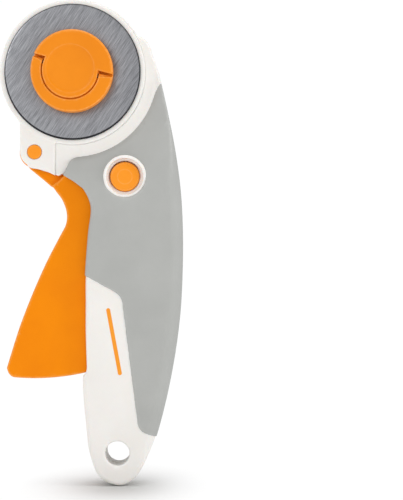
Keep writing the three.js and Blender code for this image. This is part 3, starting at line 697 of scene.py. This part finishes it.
# front shell: body, shoulder and deck, then the seats of the guard and its ear
front = either(white_body, slab(shoulder_flat, z, -FAR, DISH_FLOOR, 1.0), 0.6)
front = either(front, slab(head_flat, z, -FAR, DECK_TOP, 0.3), 0.3)
front = both(front, dish0, 0.4)
front = cut(front, np.maximum(handle_block.outline(NOSE_FLAT), NOSE_TOP - z), 0.15)
front = cut(cut(front, grip_void, 0.12), under_grip)
front = cut(front, np.maximum(axis_flat - RIM_SEAT_R + 0.12, DECK_TOP - z))
front = both(front, PARTING - z, 0.35)
ear_room = np.maximum(handle_block.outline(lug_outline(0.05, -5.92)), TONGUE_HALF - z)
front = cut(front, cut(ear_room, np.maximum(axis_flat - RIM_SEAT_R, z - DECK_TOP)))
front = open_up(front)
front = cut(front, np.maximum(handle_block.outline(swing_slot(ARM_ROOM_R)), -1 - z), 0.2)
front = cut(front, lock_flat - LOCK_BORE_R)

# the bolt's ring, with a cone sunk into its face and a fillet round its foot
bolt_cone = (z - CONE_Z - (lock_flat - CONE_R) * CONE_SLOPE) / CONE_NORMAL
ring = both(slab(lock_flat - LOCK_RING_R, z, PARTING, 40, 0.3), both(white_body, dish0, 0.4), 0.5)
ring = cut(ring, -bolt_cone, 0.35)
ring = cut(ring, np.maximum(lock_flat - THROAT_R, THROAT_Z - z), 0.3)
ring = cut(ring, lock_flat - LOCK_BORE_R)
ring_foot = both(lock_flat - RING_FOOT_R, white_body + 0.5)
ring_foot = cut(ring_foot, np.minimum(lock_flat - RING_FOOT_INNER_R, z - RING_FOOT_BACK))
front = either(either(front, ring), ring_foot)
front = cut(front, np.maximum(handle_block.drilled(SHELL_SCREWS, SCREW_PILOT_R), z - SCREW_PILOT_TOP))
front_shell = piece_from_field("handle_front_shell", handle_block, front)
finish_piece(front_shell, "handle", WHITE_STRIPED, "front_shell")

# rear shell: body, head and shoulder, nose, ear and the round rest pad
rear = either(white_body, slab(either(head_flat, shoulder_flat, 1.0), z, -REAR_WHITE, FAR, 1.2), 0.4)
rear = either(rear, slab(handle_block.outline(REAR_NOSE), z, -REAR_WHITE, FAR, 0.8), 0.3)
rear_ear = handle_block.outline(lug_outline(0, -4))
rear = either(rear, slab(rear_ear, z, -REAR_WHITE, -TONGUE_HALF - CLEAR, 0.8), 0.5)
rear = cut(cut(rear, grip_void, 0.12), under_grip)
rear = both(rear, z + PARTING, 0.35)
rear = either(rear, slab(axis_flat - PAD_R, z, REST_Z, -REAR_WHITE + 0.5, 0.25), 0.4)
rear = open_up(rear)
rear = either(rear, slab(lock_flat - LOCK_RING_R, z, -REAR, -PARTING, 0.3))
rear = cut(rear, lock_flat - LOCK_BORE_R, 0.35)
rear = cut(rear, np.maximum(lock_flat - CLIP_R, CLIP_SEAT - z))
rear = cut(rear, np.maximum(pivot_flat - SPRING_R, SPRING_SEAT - z))
spring_legs = handle_block.outline([PIVOT] + arc(PIVOT, SPRING_LEG_R, -66, -2))
rear = cut(rear, np.maximum(spring_legs, SPRING_SEAT - z))
rear = cut(rear, pivot_flat - PIN_R - 0.08)
rear = cut(rear, np.maximum(pivot_flat - PIN_HEAD_R, z - PIN_HEAD_SEAT), 0.25)
rear = cut(rear, handle_block.drilled(SHELL_SCREWS, SCREW_HOLE_R))
rear = cut(rear, np.maximum(handle_block.drilled(SHELL_SCREWS, SCREW_HEAD_R), z - SCREW_HEAD_TOP), 0.3)
rear_shell = piece_from_field("handle_rear_shell", handle_block, rear)
finish_piece(rear_shell, "handle", WHITE, "rear_shell")

grip_bed = core(0.05)


def grip(half):
    """One half of the soft grip, which lies on the handle's core."""
    g = both(grip_body, grip_flat, 0.2)
    g = both(g, half, 0.35)
    g = cut(g, grip_bed)
    g = cut(g, trigger_slot, 0.4)
    g = cut(g, np.maximum(handle_block.drilled(SHELL_SCREWS, SCREW_HEAD_R), z - SCREW_WELL_TOP), 0.3)
    return cut(g, lock_flat - LOCK_RING_R + 0.05, 0.5)


front_grip = piece_from_field("handle_front_grip", handle_block, grip(PARTING - z))
finish_piece(front_grip, "handle", GREY, "front_grip")
rear_grip = piece_from_field("handle_rear_grip", handle_block, grip(z + PARTING))
finish_piece(rear_grip, "handle", GREY, "rear_grip")

# ------------------------------------------------------------------ guard
guard_block = Block((-24.2, -35, 3), (24.2, 24.2, 6.8), step=0.22)
guard_flat = np.hypot(guard_block.x, guard_block.y)
guard = slab(guard_flat - GUARD_R, guard_block.z, GUARD_BACK, GUARD_TOP, 0.25)
ear = slab(guard_block.outline(lug_outline(0, -5.75)), guard_block.z, EAR_BACK, GUARD_TOP, 0.22)
guard = either(guard, cut(ear, np.maximum(guard_flat - RECESS_R, guard_block.z - GUARD_BACK)), 0.6)
guard = cut(guard, guard_block.outline(swing_slot(ARM_ROOM_R)), 0.2)
guard = cut(guard, guard_block.round_about(PIVOT, PIN_R + 0.06), 0.25)
for angle in GUARD_SCREW_ANGLES:
    seat = guard_block.round_about(polar(AXIS, GUARD_SCREW_ORBIT, angle), 0)
    countersink = 0.7 * (seat - GUARD_SCREW_R - (guard_block.z - COUNTERSINK_BACK))
    guard = cut(guard, np.maximum(seat - GUARD_SCREW_HEAD_R, countersink))
    guard = cut(guard, seat - GUARD_SCREW_R)
blade_guard = piece_from_field("blade_guard", guard_block, guard)
finish_piece(blade_guard, "handle", WHITE, "guard")

# ------------------------------------------------------------------ trigger
trigger_block = Block((-22.5, -101.6, -5.8), (9.5, -20.8, 5.8), step=0.22)
lever = slab(trigger_block.outline(trigger_outline()), trigger_block.z, -TRIGGER_HALF, TRIGGER_HALF, 0.65)
tongue = np.minimum(trigger_block.round_about(PIVOT, TONGUE_R + 0.2), trigger_block.outline(TONGUE))
lever = either(lever, slab(tongue, trigger_block.z, -TONGUE_HALF, TONGUE_HALF, 0.35), 0.4)
hollow = slab(trigger_block.outline(TRIGGER_HOLLOW), trigger_block.z, -HOLLOW_HALF, HOLLOW_HALF)
lever = cut(lever, hollow, 0.2)
plate_slot = trigger_block.round_about(PIVOT, PLATE_R)
plate_slot = slab(plate_slot, trigger_block.z, -PLATE_HALF - 0.05, PLATE_HALF + 0.05)
lever = cut(lever, plate_slot)
lever = cut(lever, trigger_block.round_about(PIVOT, PIN_R + 0.08))
for distance, angle in CARRIER_SCREWS:
    screw = trigger_block.round_about(polar(PIVOT, distance, angle), CARRIER_SCREW_R)
    lever = cut(lever, np.maximum(screw, CARRIER_SCREW_SEAT - trigger_block.z))
trigger = piece_from_field("squeeze_trigger", trigger_block, lever)
finish_piece(trigger, "trigger_unit", TRIGGER, "trigger")

# ------------------------------------------------------------------ knob and its flip-up half ring
knob_block = Block((-13.8, -13.8, 7.4), (13.8, 13.8, 12.4), step=0.14)
knob_flat = np.hypot(knob_block.x, knob_block.y)
island_flat = np.hypot(knob_block.x - ISLAND[0], knob_block.y - ISLAND[1])
across = -math.sin(BAIL_TILT) * knob_block.x + math.cos(BAIL_TILT) * knob_block.y
along = math.cos(BAIL_TILT) * knob_block.x + math.sin(BAIL_TILT) * knob_block.y
axis_distance = np.hypot(across - BAIL_AXIS_V, knob_block.z - BAIL_AXIS_Z)

# the island's face is sunk a little, inside a soft step
face_rise = np.clip(knob_block.round_about(FACE_CENTRE, FACE_R) / FACE_STEP, 0, 1)
knob_face = KNOB_TOP - FACE_SINK * (1 - smoothstep(face_rise))
knob = slab(knob_flat - KNOB_R, knob_block.z, KNOB_BACK, knob_face, 0.75)
bail_room = np.maximum(ISLAND_R - island_flat, KNOB_BED - knob_block.z)
bail_room = np.maximum(bail_room, across - (BAIL_AXIS_V + BAIL_HALF + CLEAR))
knob = cut(knob, bail_room, 0.28)
# a ledge round the island keeps dust out of the gap under the half ring
ledge = slab(island_flat - LEDGE_R, knob_block.z, KNOB_BED, LEDGE_TOP)
knob = either(knob, ledge)
knob = cut(knob, np.maximum(axis_distance - PIN_BORE_R, PIN_FROM - np.abs(along)))
knob = cut(knob, np.maximum(knob_flat - NUT_R, knob_block.z - NUT_TOP))
release_knob = piece_from_field("release_knob", knob_block, knob)
finish_piece(release_knob, "knob_unit", ORANGE, "knob")

# each end of the half ring carries a hinge barrel and is bevelled, which leaves a wedge-shaped notch
bail = np.maximum(knob_flat - BAIL_R, ISLAND_R + BAIL_GAP - island_flat)
bail = slab(bail, knob_block.z, BAIL_AXIS_Z - BAIL_HALF, BAIL_AXIS_Z + BAIL_HALF, 0.4)
bail_end = BAIL_AXIS_V - 0.1 + NOTCH_RISE * np.clip((np.abs(along) - NOTCH_FROM) / NOTCH_RUN, 0, 1)
bail = both(bail, np.minimum(across - bail_end, axis_distance - BARREL_R), 0.12)
bail = cut(bail, np.maximum(axis_distance - BAIL_PIN_R, np.abs(along) - PIN_TO))
flip_bail = piece_from_field("knob_flip_bail", knob_block, bail)
finish_piece(flip_bail, "bail", ORANGE, "knob_bail")

# ------------------------------------------------------------------ turned pieces
# profiles are (radius, height) round the section
BLADE_PROFILE = [(4.08, BLADE_BACK), (21.9, BLADE_BACK), (22.5, 7.15), (21.9, BLADE_FACE), (4.08, BLADE_FACE)]
PIN_PROFILE = [(0, -8.9), (3.7, -8.9), (3.9, -8.7), (3.9, -8.05), (PIN_R, -8.05), (PIN_R, 6.7), (2.1, 6.86),
               (0, 6.88)]
BOLT_PROFILE = [(0, -7.1), (4.3, -7.1), (4.86, -6.6), (4.86, -3.3), (3.9, -3.3), (3.9, -2.1), (4.86, -2.1),
                (4.86, 9.0), (4.7, 9.45), (4.4, 9.65), (2.4, 9.8), (0, 9.84)]
blade = turned("round_blade", BLADE_PROFILE, segments=360, soft=0.02)
finish_piece(blade, "blade_disc", BLADE, "blade")
pin = turned("pivot_pin", PIN_PROFILE, segments=96, centre=PIVOT)
finish_piece(pin, "handle", BUTTON, "trigger_pivot_pin")
bolt = turned("cross_bolt_button", BOLT_PROFILE, segments=128, centre=LOCK, soft=0.25)
finish_piece(bolt, "lock", BUTTON, "lock_button")

# ------------------------------------------------------------------ small hardware kept from the CAD
LOOKS = {"arbor": STEEL, "lock_button_clip": STEEL, "trigger_return_spring": STEEL, "knob_nut": BRASS,
         "blade_carrier": DARK_STEEL, "arbor_screw": DARK_STEEL, "blade_washer": DARK_STEEL,
         "bail_pin_left": BLACK_STEEL, "bail_pin_right": BLACK_STEEL}
LOOKS.update({name: DARK_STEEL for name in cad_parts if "_screw_" in name})
for name, look in LOOKS.items():
    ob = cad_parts[name]
    for s in ob.material_slots:
        s.link = "OBJECT"
        s.material = look
    weld = ob.modifiers.new("weld", "WELD")
    weld.merge_threshold = 0.000002
    bevel = ob.modifiers.new("bevel", "BEVEL")
    bevel.width = 0.00012
    bevel.segments = 2
    bevel.limit_method = "ANGLE"
    bevel.angle_limit = math.radians(32)

# ------------------------------------------------------------------ stage
# metres from here on
FLOOR_Z = CAD_BOX[0][2] - 0.0002
TIP_X = 0.0165
PURE_WHITE, BRIGHTNESS = (1, 1, 1, 1), 1.02
bpy.ops.mesh.primitive_plane_add(size=8, location=(0, 0, FLOOR_Z))
floor = bpy.context.object
floor.name = "floor"


def spread(n, centre, half_x, half_y):
    """1 at the centre, falling smoothly to 0 at the edge of an ellipse on the floor."""
    place = n.new("ShaderNodeMapping")
    place.inputs["Location"].default_value = (-centre[0] / half_x, -centre[1] / half_y, 0)
    place.inputs["Scale"].default_value = (1 / half_x, 1 / half_y, 0)
    n.link(n.coord, place.inputs["Vector"])
    ball = n.new("ShaderNodeTexGradient", gradient_type="SPHERICAL")
    n.link(place.outputs["Vector"], ball.inputs["Vector"])
    smooth = n.new("ShaderNodeMapRange", interpolation_type="SMOOTHSTEP")
    n.link(ball.outputs["Fac"], smooth.inputs["Value"])
    return smooth.outputs["Result"]


# the floor glows white, and takes light and shadow only in a patch round the tail, where a painted shadow
# also darkens its colour towards the middle
n = Nodes("pale_floor")
# painted shadow: the floor's colour falls from 0.9 to 0.6 in an ellipse round the tail's tip
n.set("Base Color", n.mix(spread(n, (TIP_X, -0.018), 0.03, 0.05), (0.9, 0.9, 0.9, 1), (0.6, 0.6, 0.59, 1)))
n.set("Roughness", 0.85)
n.set("Specular IOR Level", 0.1)
glow = n.new("ShaderNodeEmission")
glow.inputs["Color"].default_value = PURE_WHITE
glow.inputs["Strength"].default_value = BRIGHTNESS
blend = n.new("ShaderNodeMixShader")
n.link(spread(n, (TIP_X - 0.002, -0.016), 0.038, 0.08), blend.inputs[0])
n.link(glow.outputs[0], blend.inputs[1])
n.link(n.bsdf.outputs[0], blend.inputs[2])
n.link(blend.outputs[0], n.tree.nodes["Material Output"].inputs["Surface"])
floor.data.materials.append(n.mat)

# ------------------------------------------------------------------ light
# the room is a soft light, and the camera sees a white backdrop in its place
world = bpy.data.worlds.new("studio")
bpy.context.scene.world = world
world.use_nodes = True
sky = world.node_tree
room = sky.nodes["Background"]
backdrop = sky.nodes.new("ShaderNodeBackground")
for background, strength in ((room, 0.54), (backdrop, BRIGHTNESS)):
    background.inputs["Color"].default_value = PURE_WHITE
    background.inputs["Strength"].default_value = strength
seen = sky.nodes.new("ShaderNodeLightPath")
choose = sky.nodes.new("ShaderNodeMixShader")
sky.links.new(seen.outputs["Is Camera Ray"], choose.inputs[0])
sky.links.new(room.outputs[0], choose.inputs[1])
sky.links.new(backdrop.outputs[0], choose.inputs[2])
sky.links.new(choose.outputs[0], sky.nodes["World Output"].inputs["Surface"])


def softbox(name, location, target, width, height, watts):
    light = bpy.data.lights.new(name, "AREA")
    light.shape = "RECTANGLE"
    light.size, light.size_y, light.energy = width, height, watts
    ob = bpy.data.objects.new(name, light)
    ob.location = location
    ob.rotation_euler = (Vector(target) - Vector(location)).to_track_quat("-Z", "Y").to_euler()
    bpy.context.scene.collection.objects.link(ob)


MIDDLE = (0.01, 0, -0.05)
softbox("key_light", (-0.5, -0.9, 0.3), MIDDLE, 0.6, 0.5, 2.7)
softbox("top_light", (0.05, -0.05, 0.75), MIDDLE, 0.5, 0.5, 2.4)
softbox("right_light", (0.7, -0.2, 0.1), MIDDLE, 0.3, 0.7, 2.0)
softbox("low_fill", (0.12, -0.4, -0.125), (0.015, 0, -0.13), 0.3, 0.08, 0.18)

# ------------------------------------------------------------------ camera
SENSOR, DISTANCE, VIEW_WIDTH = 36, 0.585, 0.133
BLADE_PLANE_Y = (REST_Z - BLADE_FACE) / 1000
scene = bpy.context.scene
scene.view_settings.view_transform = "Standard"
camera = bpy.data.cameras.new("camera")
camera.sensor_fit = "HORIZONTAL"
camera.sensor_width = SENSOR
camera.lens = SENSOR * DISTANCE / VIEW_WIDTH
camera.clip_start = 0.01
camera_object = bpy.data.objects.new("camera", camera)
camera_object.location = (0.0426, BLADE_PLANE_Y - DISTANCE, -0.0588)
camera_object.rotation_euler = (math.radians(90), 0, 0)
scene.collection.objects.link(camera_object)
scene.camera = camera_object
